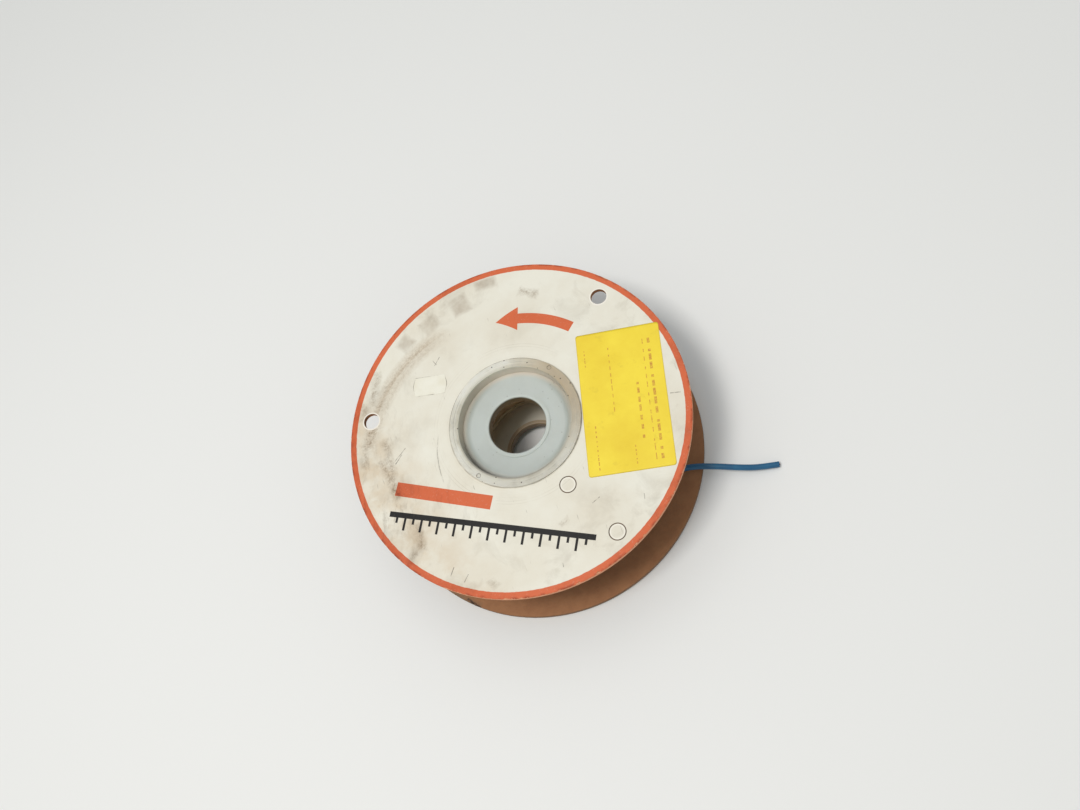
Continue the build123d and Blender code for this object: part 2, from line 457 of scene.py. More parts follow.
# Mask of a printed box, its edge blurred over so many millimetres, and the coordinates along and across it
def printedBox(tree, place, box, blur=printedFace["blur"]):
    x, y, length, width, angle = box
    moved = addNode(tree, "VectorMath", {0: place, 1: (x * mm, y * mm, 0)}, operation="SUBTRACT")
    turned = addNode(tree, "VectorRotate", {"Vector": moved, "Angle": radians(-angle)}, rotation_type="Z_AXIS")
    spread = addNode(tree, "VectorMath", {0: turned}, operation="ABSOLUTE")
    half = (length / 2 * mm, width / 2 * mm, 0)
    over = addNode(tree, "VectorMath", {0: spread, 1: half}, operation="SUBTRACT")
    sides = addNode(tree, "SeparateXYZ", {0: over}).node.outputs
    most = addNode(tree, "Math", {0: sides[0], 1: sides[1]}, operation="MAXIMUM")
    return addNode(tree, "MapRange", {0: most, 1: blur * mm, 2: -blur * mm}), turned


# Mask of several such boxes
def printedBoxes(tree, place, boxes, blur):
    mask = 0
    for box in boxes:
        boxMask, _ = printedBox(tree, place, box, blur)
        mask = addNode(tree, "Math", {0: mask, 1: boxMask}, operation="MAXIMUM")
    return mask


face, tree, shader, place = newMaterial("hardboard_face_printed")
flat, radius, x, y, z = drumPlace(tree, place)
bearing = addNode(tree, "Math", {0: y, 1: x}, operation="ARCTAN2")
blur = printedFace["blur"]

# the board under the print shows at the edge, in the holes and in the cut rings
rim = board["radius"]
cutZone = zoneMask(tree, 1.0, (radius, rim - 0.6, rim - 0.25))
bare = boardColour(tree, place, cutZone, printedFace["edge"], printedFace["edgeDark"])

# white with a warmer mottle where it has yellowed
printed, mottle = mottled(tree, place, 42, 0.36, 0.7, printedFace["white"], printedFace["warmWhite"],
                          Detail=5, Roughness=0.6)

# orange ring, its inner edge a little uneven as silk-screened ink is
ragged = addNode(tree, "TexNoise", {"Vector": place, "Scale": grain(3), "Detail": 2})
raggedRadius = addNode(tree, "Math", {0: ragged, 1: printedFace["ringRagged"] * mm, 2: radius},
                       operation="MULTIPLY_ADD")
orange = zoneMask(tree, 1.0, (raggedRadius, printedFace["ringInner"] + 0.15, printedFace["ringInner"] + 0.35))

# plain bar and graduated rule, on which every second tick is a short one
bar, _ = printedBox(tree, flat, printedFace["bar"])
black, _ = printedBox(tree, flat, printedFace["rule"])
ticks, ticksPlace = printedBox(tree, flat, printedFace["ticks"])
along, below, _ = addNode(tree, "SeparateXYZ", {0: ticksPlace}).node.outputs
pitch = printedFace["tickPitch"]
halfTick = printedFace["tickWidth"] / 2
tickFold = addNode(tree, "Math", {0: along, 1: pitch / 2 * mm}, operation="PINGPONG")
longFold = addNode(tree, "Math", {0: along, 1: pitch * mm}, operation="PINGPONG")
longOnly = addNode(tree, "Math", {0: longFold, 1: pitch / 2 * mm}, operation="LESS_THAN")
nearRule = addNode(tree, "Math", {0: below, 1: 0.2 * mm}, operation="GREATER_THAN")
tickHeight = addNode(tree, "Math", {0: longOnly, 1: nearRule}, operation="MAXIMUM")
ticks = zoneMask(tree, ticks, (tickFold, halfTick + blur, halfTick - blur))
ticks = addNode(tree, "Math", {0: ticks, 1: tickHeight}, operation="MULTIPLY")
black = addNode(tree, "Math", {0: black, 1: ticks}, operation="MAXIMUM")

# arrow: a band along a circle, and a head that narrows to its point
arrow = printedFace["arrow"]
start, end, head = (radians(arrow[name]) for name in ("start", "end", "head"))
offLine = addNode(tree, "Math", {0: radius, 1: arrow["radius"] * mm}, operation="SUBTRACT")
offLine = addNode(tree, "Math", {0: offLine}, operation="ABSOLUTE")
afterStart = addNode(tree, "Math", {0: bearing, 1: start}, operation="GREATER_THAN")
beforeHead = addNode(tree, "Math", {0: bearing, 1: end}, operation="LESS_THAN")
shaft = zoneMask(tree, afterStart, (offLine, arrow["width"] / 2 + blur, arrow["width"] / 2 - blur))
shaft = addNode(tree, "Math", {0: shaft, 1: beforeHead}, operation="MULTIPLY")
headReach = addNode(tree, "MapRange", {0: bearing, 1: end, 2: head,
                                       3: arrow["headWidth"] / 2 * mm, 4: 0.0})
headInside = addNode(tree, "Math", {0: offLine, 1: headReach}, operation="LESS_THAN")
headPast = addNode(tree, "Math", {0: bearing, 1: end}, operation="GREATER_THAN")
arrowHead = addNode(tree, "Math", {0: headInside, 1: headPast}, operation="MULTIPLY")
for mask in (bar, shaft, arrowHead):
    orange = addNode(tree, "Math", {0: orange, 1: mask}, operation="MAXIMUM")

# ink is a little thin in places
thin = addNode(tree, "TexNoise", {"Vector": place, "Scale": grain(1.2), "Detail": 4, "Roughness": 0.7})
layers = []
for mask, tone, thinnest in ((orange, "orange", 0.75), (black, "black", 0.95)):
    cover = addNode(tree, "MapRange", {0: thin, 1: 0.2, 2: 0.42, 3: thinnest, 4: 1.0})
    layers.append((addNode(tree, "Math", {0: mask, 1: cover}, operation="MULTIPLY"), tone, mixColour))

# handling grime: soft smudges broken up by a finer noise, and stronger towards the rim
smudge = addNode(tree, "TexNoise", {"Vector": place, "Scale": grain(19), "Detail": 6, "Roughness": 0.62,
                                    "Distortion": 0.5})
outward = addNode(tree, "MapRange", {0: radius, 1: 55 * mm, 2: 95 * mm, 3: 0.135, 4: 0.45})
layers.append((addNode(tree, "MapRange", {0: smudge, 1: 0.53, 2: 0.8, 4: outward}), "grime", darken))

# places wander here, so that the dirt has no straight edges
uneven = addNode(tree, "TexNoise", {"Vector": place, "Scale": grain(5), "Detail": 4})
waver = addNode(tree, "TexNoise", {"Vector": place, "Scale": grain(7), "Detail": 3}).node.outputs["Color"]
reach = printedFace["waver"] * mm
waverStep = addNode(tree, "VectorMath", {0: waver, 1: (2 * reach, 2 * reach, 0), 2: (-reach, -reach, 0)},
                    operation="MULTIPLY_ADD")
waverPlace, patchPlace, scratchPlace = (
    addNode(tree, "VectorMath", {0: waverStep, 1: (share, share, 0), 2: flat}, operation="MULTIPLY_ADD")
    for share in (1, 0.5, 0.2)
)

# the four patches, uneven inside
patches = printedBoxes(tree, patchPlace, printedFace["patches"], 1.3)
patchCover = addNode(tree, "MapRange", {0: uneven, 1: 0.25, 2: 0.7, 3: 0.2, 4: 0.6})
layers.append((addNode(tree, "Math", {0: patches, 1: patchCover}, operation="MULTIPLY"), "patch", darken))

# the rub: a soft band of a few streaks side by side
rub = printedFace["rub"]
drift = rub["driftPerDegree"]
rubPath = addNode(tree, "Math", {0: bearing, 1: -drift * 180 / pi * mm, 2: (drift * rub["from"] - rub["radius"]) * mm},
                  operation="MULTIPLY_ADD")
rubPlace = addNode(tree, "Math", {0: radius, 1: rubPath}, operation="ADD")
rubOff = addNode(tree, "Math", {0: rubPlace}, operation="ABSOLUTE")
rubStreak = addNode(tree, "TexNoise", {"W": rubPlace, "Scale": grain(3.2), "Detail": 2}, noise_dimensions="1D")
rubMask = addNode(tree, "MapRange", {0: rubStreak, 1: 0.36, 2: 0.6, 3: 0.425, 4: 0.7225})
for clear, full in ((rub["from"] - 12, rub["from"] + 4), (rub["to"] + 6, rub["to"] - 8)):
    rubMask = addNode(tree, "MapRange", {0: bearing, 1: radians(clear), 2: radians(full), 4: rubMask})
rubMask = zoneMask(tree, rubMask, (rubOff, rub["width"] / 2, 0.8))

# hands have left the left side of the face tan, and the rub with it
handledPart = addNode(tree, "TexNoise", {"Vector": waverPlace, "Scale": grain(17), "Detail": 5, "Roughness": 0.6})
handledPart = addNode(tree, "MapRange", {0: handledPart, 1: 0.4, 2: 0.62, 3: 0.1, 4: 0.5})
handled = zoneMask(tree, handledPart, (x, -50, -80))
rubTan = addNode(tree, "Math", {0: rubMask, 1: 0.45}, operation="MULTIPLY")
layers.append((addNode(tree, "Math", {0: handled, 1: rubTan}, operation="MAXIMUM"), "handling", darken))

# the soft spots of dirt, and the rub's, in grains and specks
dirtGrain = addNode(tree, "TexNoise", {"Vector": waverPlace, "Scale": grain(2.4), "Detail": 6, "Roughness": 0.72})
dirtMask = addNode(tree, "MapRange", {0: dirtGrain, 1: 0.34, 2: 0.66, 3: 0.1, 4: 0.9})
specks = addNode(tree, "TexNoise", {"Vector": flat, "Scale": grain(0.9), "Detail": 3, "Roughness": 0.7})
specks = addNode(tree, "MapRange", {0: specks, 1: 0.38, 2: 0.62, 3: 0.55, 4: 1.15})
stains = printedBoxes(tree, waverPlace, printedFace["stains"], 2.2)
stains = addNode(tree, "Math", {0: stains, 1: rubMask}, operation="MAXIMUM")
for mask in (dirtMask, specks):
    stains = addNode(tree, "Math", {0: stains, 1: mask}, operation="MULTIPLY")
layers.append((stains, "stain", darken))

# faint drag streaks, thickest on the left side of the face
leftward = addNode(tree, "MapRange", {0: x, 1: -38 * mm, 2: -78 * mm, 3: 0.036, 4: 0.6})
drawn = addNode(tree, "VectorRotate", {"Vector": waverPlace, "Angle": radians(-58)}, rotation_type="Z_AXIS")
drawn = addNode(tree, "VectorMath", {0: drawn, 1: (0.28, 1.0, 1.0)}, operation="MULTIPLY")
streaks = addNode(tree, "TexNoise", {"Vector": drawn, "Scale": grain(3.4), "Detail": 7, "Roughness": 0.7})
streakZone = addNode(tree, "TexNoise", {"Vector": place, "Scale": grain(26), "Detail": 3})
streakZone = addNode(tree, "MapRange", {0: streakZone, 1: 0.42, 2: 0.66, 4: leftward})
layers.append((addNode(tree, "MapRange", {0: streaks, 1: 0.5, 2: 0.76, 4: streakZone}), "streak", darken))

# fine scratches a third of a millimetre wide all over, the deeper short ones and the curved scuff
drawn = addNode(tree, "VectorRotate", {"Vector": flat, "Angle": radians(-75)}, rotation_type="Z_AXIS")
drawn = addNode(tree, "VectorMath", {0: drawn, 1: (0.09, 1.0, 1.0)}, operation="MULTIPLY")
fineOnes = addNode(tree, "TexNoise", {"Vector": drawn, "Scale": grain(1.1), "Detail": 2})
fineOnes = addNode(tree, "MapRange", {0: fineOnes, 1: 0.71, 2: 0.79, 4: 0.5})
arcScuff = printedFace["arcScuff"]
arcX, arcY = arcScuff["centre"]
arcAway = addNode(tree, "VectorMath", {0: scratchPlace, 1: (arcX * mm, arcY * mm, 0)}, operation="DISTANCE")
arcOff = addNode(tree, "Math", {0: arcAway, 1: arcScuff["radius"] * mm}, operation="SUBTRACT")
arcOff = addNode(tree, "Math", {0: arcOff}, operation="ABSOLUTE")
lowest, highest = arcScuff["lowest"], arcScuff["highest"]
arcLine = zoneMask(tree, 0.7, (x, 0, -1), (y, lowest, lowest + 5), (y, highest, highest - 8),
                   (arcOff, arcScuff["width"], 0.1))
deepOnes = printedBoxes(tree, scratchPlace, printedFace["scratches"], 0.16)
deepOnes = addNode(tree, "Math", {0: deepOnes, 1: arcLine}, operation="MAXIMUM")
deepBreak = addNode(tree, "MapRange", {0: dirtGrain, 1: 0.38, 2: 0.55, 3: 0.15, 4: 0.8})
deepOnes = addNode(tree, "Math", {0: deepOnes, 1: deepBreak}, operation="MULTIPLY")
layers.append((addNode(tree, "Math", {0: fineOnes, 1: deepOnes}, operation="MAXIMUM"), "scratch", mixColour))

# faint turned scuffs round the hub, where the bush or a stand has rubbed
scuffWave = addNode(tree, "TexNoise", {"W": radius, "Scale": grain(0.9), "Detail": 3}, noise_dimensions="1D")
scuffPart = addNode(tree, "MapRange", {0: mottle, 1: 0.42, 2: 0.6, 4: zoneMask(tree, 0.5, (radius, 54, 44))})
layers.append((addNode(tree, "MapRange", {0: scuffWave, 1: 0.62, 2: 0.72, 4: scuffPart}), "grime", darken))

# painted contact shade on the face against the hub bush's rim, broken here and there
hubContactShade = addNode(tree, "MapRange", {0: uneven, 1: 0.35, 2: 0.6, 3: 0.1875, 4: 0.75})
layers.append((zoneMask(tree, hubContactShade, (radius, printedFace["hubRim"] + 1.0, printedFace["hubRim"] + 0.3)),
               "grime", darken))

# round each open hole the print has lifted and is pale; round each closed one a pale ring inside the cut is a painted
# highlight, and the cut itself is painted dark as shade
for spots, low, high, tone, strength in (
    ("openHoles", 0.0, 0.75, "liftedPrint", 0.8),
    ("closedHoles", -1.3, -0.5, "cutHighlight", 0.6),
    ("closedHoles", -0.5, 0.12, "cutShade", 0.85),
):
    inner = printedFace["holeRadius"] + low
    outer = printedFace["holeRadius"] + high
    for spotX, spotY in printedFace[spots]:
        away = addNode(tree, "VectorMath", {0: flat, 1: (spotX * mm, spotY * mm, 0)}, operation="DISTANCE")
        lip = zoneMask(tree, strength, (away, inner - 0.08, inner + 0.08), (away, outer + 0.12, outer - 0.12))
        layers.append((lip, tone, mixColour))

# the ring's outer edge is darker, broken here and there
edgeDirt = addNode(tree, "MapRange", {0: uneven, 1: 0.48, 2: 0.62, 4: 0.8})
layers.append((zoneMask(tree, edgeDirt, (radius, rim - 1.6, rim - 0.1)), "ringEdgeDark", darken))
for mask, tone, way in layers:
    printed = addNode(tree, "Mix", {0: mask, 6: printed, 7: printedFace[tone]}, **way)

# chips at the rim, where the ink has come off down to the board
chip = addNode(tree, "TexNoise", {"Vector": place, "Scale": grain(2.6), "Detail": 3, "Roughness": 0.6})
chipSum = addNode(tree, "Math", {0: chip, 1: zoneMask(tree, 0.25, (radius, rim - 1.4, rim - 0.1))}, operation="ADD")
kept = addNode(tree, "MapRange", {0: chipSum, 1: 0.84, 2: 0.8})

# print lies on the top face, and the ring's ink runs a little way down the edge
dip = addNode(tree, "Math", {0: z, 1: board["upperTop"] * mm}, operation="SUBTRACT")
edgeDip = addNode(tree, "Math", {0: chip, 1: 0.8 * mm, 2: dip}, operation="MULTIPLY_ADD")
outer = addNode(tree, "Math", {0: radius, 1: (rim - board["edgeStrip"]) * mm}, operation="GREATER_THAN")
onEdge = zoneMask(tree, outer, (edgeDip, 0.3 - printedFace["ringOverEdge"], 0.5 - printedFace["ringOverEdge"]))
onTop = zoneMask(tree, 1.0, (dip, -0.06, -0.02))
covered = addNode(tree, "Math", {0: onEdge, 1: onTop}, operation="MAXIMUM")
covered = addNode(tree, "Math", {0: covered, 1: kept}, operation="MULTIPLY")
wear = addNode(tree, "TexNoise", {"Vector": place, "Scale": grain(12), "Detail": 4})
faceGloss = addNode(tree, "MapRange", {0: wear, 3: 0.46, 4: 0.66})
pressed = unevenRelief(tree, place, 1.1, 0.12, 0.35, Detail=4)
setInputs(tree, shader, {
    "Base Color": addNode(tree, "Mix", {0: covered, 6: bare, 7: printed}, **mixColour),
    "Specular IOR Level": 0.3,
    "Roughness": addNode(tree, "Mix", {0: covered, 2: 0.85, 3: faceGloss}, data_type="FLOAT"),
    "Normal": addNode(tree, "Bump", {"Height": covered, "Strength": 0.6, "Distance": 0.1 * mm, "Normal": pressed}),
})

# Bare board of the lower flange: matt, its fibre just felt
bareBoard, tree, shader, place = newMaterial("hardboard_bare")
flat, radius, _, _, z = drumPlace(tree, place)
cutZone = zoneMask(tree, 1.0, (radius, rim - 0.4, rim - 0.15))
colour = boardColour(tree, place, cutZone, board["cutEdge"], board["cutEdgeDark"])
fibre = addNode(tree, "TexNoise", {"Vector": place, "Scale": grain(2.2), "Detail": 5, "Roughness": 0.65})
reach = board["waver"] * mm
fibreStep = addNode(tree, "VectorMath", {0: fibre.node.outputs["Color"], 1: (2 * reach, 2 * reach, 0),
                                         2: (-reach, -reach, 0)}, operation="MULTIPLY_ADD")
fibrePlace = addNode(tree, "VectorMath", {0: flat, 1: fibreStep}, operation="ADD")
fibreCover = addNode(tree, "MapRange", {0: fibre, 1: 0.36, 2: 0.56, 3: 0.4, 4: 1.0})
for mark in (board["frayed"], board["split"]):
    markMask, _ = printedBox(tree, fibrePlace, mark["box"], mark["blur"])
    markDown = addNode(tree, "MapRange", {
        0: z, 1: (board["lowerTop"] - mark["thinTo"]) * mm, 2: (board["lowerTop"] - mark["thinFrom"]) * mm,
        3: mark["least"], 4: mark["strength"]})
    for mask in (markDown, fibreCover):
        markMask = addNode(tree, "Math", {0: markMask, 1: mask}, operation="MULTIPLY")
    colour = addNode(tree, "Mix", {0: markMask, 6: colour, 7: mark["colour"]}, **mixColour)
setInputs(tree, shader, {
    "Base Color": colour,
    "Roughness": 0.8,
    "Normal": unevenRelief(tree, place, 1.4, 0.2, 0.5, Detail=4),
})

# Barrel: wound kraft cardboard, matt, in fibre clumps; its brown is painted paler than the board's own, as bounce
# light for the shaded inside of the drum
tube = {"brown": "#E6CFAC", "paleBrown": "#F2DFC0"}
tubeBoard, tree, shader, place = newMaterial("cardboard_spiral_wound")
colour, fibre = mottled(tree, place, 3, 0.3, 0.7, tube["brown"], tube["paleBrown"], Detail=6)
setInputs(tree, shader, {
    "Base Color": colour,
    "Roughness": 0.85,
    "Normal": addNode(tree, "Bump", {"Height": fibre, "Strength": 0.3, "Distance": 0.1 * mm}),
})

print("board finishes made")

# Hub bushes: natural polythene, injection moulded, grey-white, satin and slightly translucent
hub = {
    "colour": "#C0C8C4",
    "rimColour": "#EFECDC",
    "rimInnerColour": "#CECABA",
    "rimSoil": "#B3A287",
    "rimShade": "#AEABA0",
    "wallColour": "#DBD1C1",
    "sideShade": "#DADCDA",
    "frontShade": "#A7AFAC",
    "cornerShade": "#838078",
    "insideDustAndBounce": "#EEDCC2",
    "sleeveEnd": "#AD9C84",
    "boreShade": "#8F8069",
    "scuff": "#A39E8F",
    "grime": "#918B7D",
    "speck": "#4A4038",
    "outline": "#6B6255",
    # two shallow ejector marks on the rim, drawn with dark circles round them
    "ejectorRadius": 36.75,
    "ejectorAngles": (23.4, 203.4),
    "ejectorSize": 1.2,
    "middleHeight": 32.2,
}
hubPlastic, tree, shader, place = newMaterial("polythene_natural_moulded")
flat, radius, x, _, z = drumPlace(tree, place)
# both bushes are one moulding, so what counts is the distance from the drum's middle
middle = hub["middleHeight"] * mm
fromMiddle = addNode(tree, "Math", {0: z, 1: middle}, operation="SUBTRACT")
fromMiddle = addNode(tree, "Math", {0: fromMiddle}, operation="ABSOLUTE")
frontLeft, front, back, aside = (
    addNode(tree, "VectorMath", {0: flat, 1: (*way, 0)}, operation="DOT_PRODUCT")
    for way in ((-0.68, -0.73), (-0.17, -0.98), (0.5, 0.87), (-0.839, 0.545))
)
aside = addNode(tree, "Math", {0: aside}, operation="ABSOLUTE")
cloud = addNode(tree, "TexNoise", {"Vector": place, "Scale": grain(14), "Detail": 5, "Roughness": 0.6})

rimMask = zoneMask(tree, 1.0, (radius, 32.9, 33.4))
rimMore = addNode(tree, "MapRange", {0: rimMask, 3: 0.25, 4: 1.0})
rimColour = hub["rimInnerColour"]
for distance, start, full, tone, strength in (
    (radius, 33.6, 35.9, "rimColour", 1.0),
    (x, 14, 34, "rimSoil", 0.9),         # handled most on the side of the label
    (front, -4, 34, "rimShade", 0.5),    # and greyer towards the front
):
    share = zoneMask(tree, strength, (distance, start, full))
    rimColour = addNode(tree, "Mix", {0: share, 6: rimColour, 7: hub[tone]}, **mixColour)

# fine turned scuffs on the rim
rimScuff = addNode(tree, "TexNoise", {"W": radius, "Scale": grain(0.5), "Detail": 3}, noise_dimensions="1D")
rimScuffPart = addNode(tree, "MapRange", {0: cloud, 1: 0.4, 2: 0.62, 4: 0.5})
rimScuff = addNode(tree, "MapRange", {0: rimScuff, 1: 0.5, 2: 0.66, 4: rimScuffPart})
rimScuff = addNode(tree, "Math", {0: rimScuff, 1: rimMask}, operation="MULTIPLY")

# grime lies in patches on the rim, and thinly elsewhere
rimGrime = addNode(tree, "MapRange", {0: rimMask, 3: 0.125, 4: 0.5})
rimGrime = addNode(tree, "MapRange", {0: cloud, 1: 0.46, 2: 0.75, 4: rimGrime})

# dark specks, half a millimetre across, mostly on the rim
speckCell = addNode(tree, "TexVoronoi", {"Vector": place, "Scale": grain(2.6)})
speckPick = addNode(tree, "SeparateColor", {0: speckCell.node.outputs["Color"]})
speckSide = addNode(tree, "MapRange", {0: x, 1: 0.0, 2: 34 * mm, 3: 0.82, 4: 0.5})
speckFew = addNode(tree, "Math", {0: speckPick, 1: speckSide}, operation="GREATER_THAN")
speck = addNode(tree, "MapRange", {0: speckCell, 1: 0.19, 2: 0.12, 4: speckFew})
speck = addNode(tree, "Math", {0: speck, 1: rimMore}, operation="MULTIPLY")

# painted shade along the rim's outer bevel, broken here and there, darkest at the back and least at the front
backPart = addNode(tree, "MapRange", {0: back, 1: -26 * mm, 2: 2 * mm, 3: 0.12, 4: 0.8})
bevelPart = addNode(tree, "MapRange", {0: cloud, 1: 0.36, 2: 0.58, 3: 0.3, 4: 1.0})
outline = addNode(tree, "Math", {0: backPart, 1: bevelPart}, operation="MULTIPLY")
outline = zoneMask(tree, outline, (radius, 38.15, 38.5))
# and a dark circle round each of the two ejector marks
for angle in hub["ejectorAngles"]:
    spotX, spotY = polar(hub["ejectorRadius"], angle)
    away = addNode(tree, "VectorMath", {0: flat, 1: (spotX * mm, spotY * mm, 0)}, operation="DISTANCE")
    off = addNode(tree, "Math", {0: away, 1: hub["ejectorSize"] * mm}, operation="SUBTRACT")
    off = addNode(tree, "Math", {0: off}, operation="ABSOLUTE")
    circle = zoneMask(tree, 0.8, (off, 0.24, 0.1))
    outline = addNode(tree, "Math", {0: outline, 1: circle}, operation="MAXIMUM")

# board dust on what is inside the drum and in the lower bush's bore, its colour lightened and warmed as painted bounce
# light
lowHalf = addNode(tree, "Math", {0: z, 1: middle}, operation="LESS_THAN")
lowBore = zoneMask(tree, 0.6, (radius, 18.4, 17.4))
lowBore = addNode(tree, "Math", {0: lowHalf, 1: lowBore}, operation="MULTIPLY")
inside = zoneMask(tree, 0.8, (fromMiddle, 24.2, 23.6))
inside = addNode(tree, "Math", {0: inside, 1: lowBore}, operation="MAXIMUM")

colour = hub["colour"]
for mask, tone, way in (
    # the brown board behind the dish's wall shows through the plastic
    (zoneMask(tree, 1.0, (radius, 29.3, 32.4), (fromMiddle, 32.1, 31.0)), hub["wallColour"], mixColour),
    # painted shade: the dish is darker towards the left and front
    (zoneMask(tree, 0.6, (frontLeft, 12, 31)), hub["frontShade"], mixColour),
    (rimMask, rimColour, mixColour),
    # painted shade in the dish's corner there, up to the rim's inner edge
    (zoneMask(tree, 0.8, (radius, 30, 32), (radius, 34.5, 33.6), (frontLeft, 8, 26)), hub["cornerShade"], mixColour),
    # and painted shade in the dish on the left and on the right
    (zoneMask(tree, 1.0, (radius, 27.4, 29.8), (radius, 34.4, 32.4), (aside, 9, 25)), hub["sideShade"], darken),
    (rimScuff, hub["scuff"], mixColour),
    (rimGrime, hub["grime"], mixColour),
    (speck, hub["speck"], mixColour),
    (outline, hub["outline"], mixColour),
    (inside, hub["insideDustAndBounce"], mixColour),
    # painted shade, brown, at the ends of the short sleeves inside
    (zoneMask(tree, 1.0, (fromMiddle, 20.6, 20.3), (radius, 17.2, 17.8)), hub["sleeveEnd"], mixColour),
    # painted shade on the bore's wall, brown with the board behind it
    (zoneMask(tree, 1.0, (radius, 17.6, 17.1), (fromMiddle, 25.7, 24.9)), hub["boreShade"], darken),
):
    colour = addNode(tree, "Mix", {0: mask, 6: colour, 7: tone}, **way)
turned = addNode(tree, "TexNoise", {"W": radius, "Scale": grain(0.7), "Detail": 3}, noise_dimensions="1D")
lathe = addNode(tree, "Bump", {"Height": turned, "Strength": 0.15, "Distance": 0.06 * mm})
setInputs(tree, shader, {
    "Base Color": colour,
    "Roughness": addNode(tree, "MapRange", {0: cloud, 3: 0.34, 4: 0.55}),
    "IOR": 1.51,
    "Subsurface Weight": 0.65,
    "Subsurface Radius": (0.006, 0.0055, 0.0048),
    "Subsurface Scale": 1.0,
    "Normal": unevenRelief(tree, place, 0.9, 0.1, 0.2, below=lathe, Detail=4),
})

print("hub finish made")

# Paper label: yellow gummed paper, matt, a little cockled, with faded brown printing
label = {
    "centre": (57.06, -27.57),
    "angle": 61.5,          # of its long side
    "length": 85.5,
    "width": 48.0,
    "corner": 1.5,
    "columns": 60,
    "lines": 34,
    "yellow": "#F3DC3C",
    "deepYellow": "#E8CB2F",
    "soil": "#A98F3A",
    "ink": "#BC7433",
    # rows of plain dashes stand where the real label is printed: offset across, along, length, dash pitch, line width
    "rows": (
        (17.2, -1.0, 74.0, 5.3, 1.5),
        (13.8, -1.0, 74.0, 5.3, 0.5),
        (8.4, -9.0, 38.0, 5.3, 1.3),
        (-6.0, 14.0, 42.0, 4.2, 0.55),
        (3.2, -34.0, 12.0, 2.4, 0.55),
        (-19.8, 27.0, 11.0, 2.4, 0.55),
        (-17.6, -26.0, 27.0, 2.7, 0.6),
    ),
    "cockle": 0.14,
    "paper": 0.1,
    "wave": 0.0,
}
labelPaper, tree, shader, place = newMaterial("paper_label_yellow")
flat = addNode(tree, "VectorMath", {0: place, 1: (1, 1, 0)}, operation="MULTIPLY")
colour, _ = mottled(tree, place, 28, 0.35, 0.7, label["yellow"], label["deepYellow"], Detail=6, Roughness=0.6)
ink = 0
for across, along, length, pitch, width in label["rows"]:
    spots = (label["centre"], polar(across, label["angle"] - 90), polar(along, label["angle"]))
    rowBox = (*(sum(parts) for parts in zip(*spots)), length, width, label["angle"])
    row, rowPlace = printedBox(tree, flat, rowBox, blur=0.12)
    rowAlong = addNode(tree, "SeparateXYZ", {0: rowPlace})
    cell = addNode(tree, "Math", {0: rowAlong, 1: pitch * mm}, operation="DIVIDE")
    cellNumber = addNode(tree, "Math", {0: cell}, operation="FLOOR")
    cellNumber = addNode(tree, "Math", {0: cellNumber, 1: across}, operation="ADD")
    cellShare = addNode(tree, "Math", {0: cell}, operation="FRACT")
    # each dash has a length of its own
    reach = addNode(tree, "TexWhiteNoise", {"W": cellNumber}, noise_dimensions="1D")
    reach = addNode(tree, "Math", {0: reach, 1: 0.6, 2: 0.28}, operation="MULTIPLY_ADD")
    reach = addNode(tree, "Math", {0: reach, 1: cellShare}, operation="SUBTRACT")
    row = addNode(tree, "MapRange", {0: reach, 1: 0.0, 2: 0.06, 4: row})
    ink = addNode(tree, "Math", {0: ink, 1: row}, operation="MAXIMUM")
inkThin = addNode(tree, "TexNoise", {"Vector": place, "Scale": grain(0.7), "Detail": 3})
inkThin = addNode(tree, "MapRange", {0: inkThin, 1: 0.3, 2: 0.65, 3: 0.25, 4: 0.85})
ink = addNode(tree, "Math", {0: ink, 1: inkThin}, operation="MULTIPLY")
# soiling: a few greyish rubs, and darker edges where dirt has stuck to the gum
rubs = addNode(tree, "TexNoise", {"Vector": place, "Scale": grain(9), "Detail": 6, "Roughness": 0.66})
rubMask = addNode(tree, "MapRange", {0: rubs, 1: 0.6, 2: 0.8, 4: 0.4})
inset = addNode(tree, "Attribute", {}, attribute_name="edgeInset").node.outputs["Fac"]
edgeMask = addNode(tree, "MapRange", {0: inset, 1: 0.5, 2: 0.1, 4: 0.35})
for mask, tone in ((ink, "ink"), (rubMask, "soil"), (edgeMask, "soil")):
    colour = addNode(tree, "Mix", {0: mask, 6: colour, 7: label[tone]}, **mixColour)
crease = unevenRelief(tree, place, 11, 0.5, 0.35, Detail=4, Roughness=0.6)
setInputs(tree, shader, {
    "Base Color": colour,
    "Roughness": addNode(tree, "MapRange", {0: rubs, 3: 0.5, 4: 0.68}),
    "Normal": unevenRelief(tree, place, 0.6, 0.06, 0.2, below=crease, Detail=3),
})

# Price sticker: white gummed paper with wavy ends, matt and yellowed, with painted shade at its edges
sticker = {
    "centre": (-28.64, 51.24),
    "angle": -30.3,
    "length": 21.0,
    "width": 12.0,
    "corner": 0.6,
    "columns": 30,
    "lines": 24,
    "white": "#E9E8DC",
    "yellowed": "#E2DFCF",
    # painted shade at the edges
    "edge": "#5E554A",
    "wave": 1.3,
    "cockle": 0.05,
    "paper": 0.1,
}
stickerPaper, tree, shader, place = newMaterial("paper_sticker_white")
colour, fade = mottled(tree, place, 8, 0.35, 0.7, sticker["white"], sticker["yellowed"], Detail=5)
# painted shade at the edges, in places
inset = addNode(tree, "Attribute", {}, attribute_name="edgeInset").node.outputs["Fac"]
edgeShadePart = addNode(tree, "MapRange", {0: fade, 1: 0.44, 2: 0.6, 3: 0.03, 4: 0.6})
edgeMask = addNode(tree, "MapRange", {0: inset, 1: 0.42, 2: 0.22, 4: edgeShadePart})
setInputs(tree, shader, {
    "Base Color": addNode(tree, "Mix", {0: edgeMask, 6: colour, 7: sticker["edge"]}, **mixColour),
    "Roughness": 0.6,
    "Normal": unevenRelief(tree, place, 0.6, 0.06, 0.2, Detail=3),
})


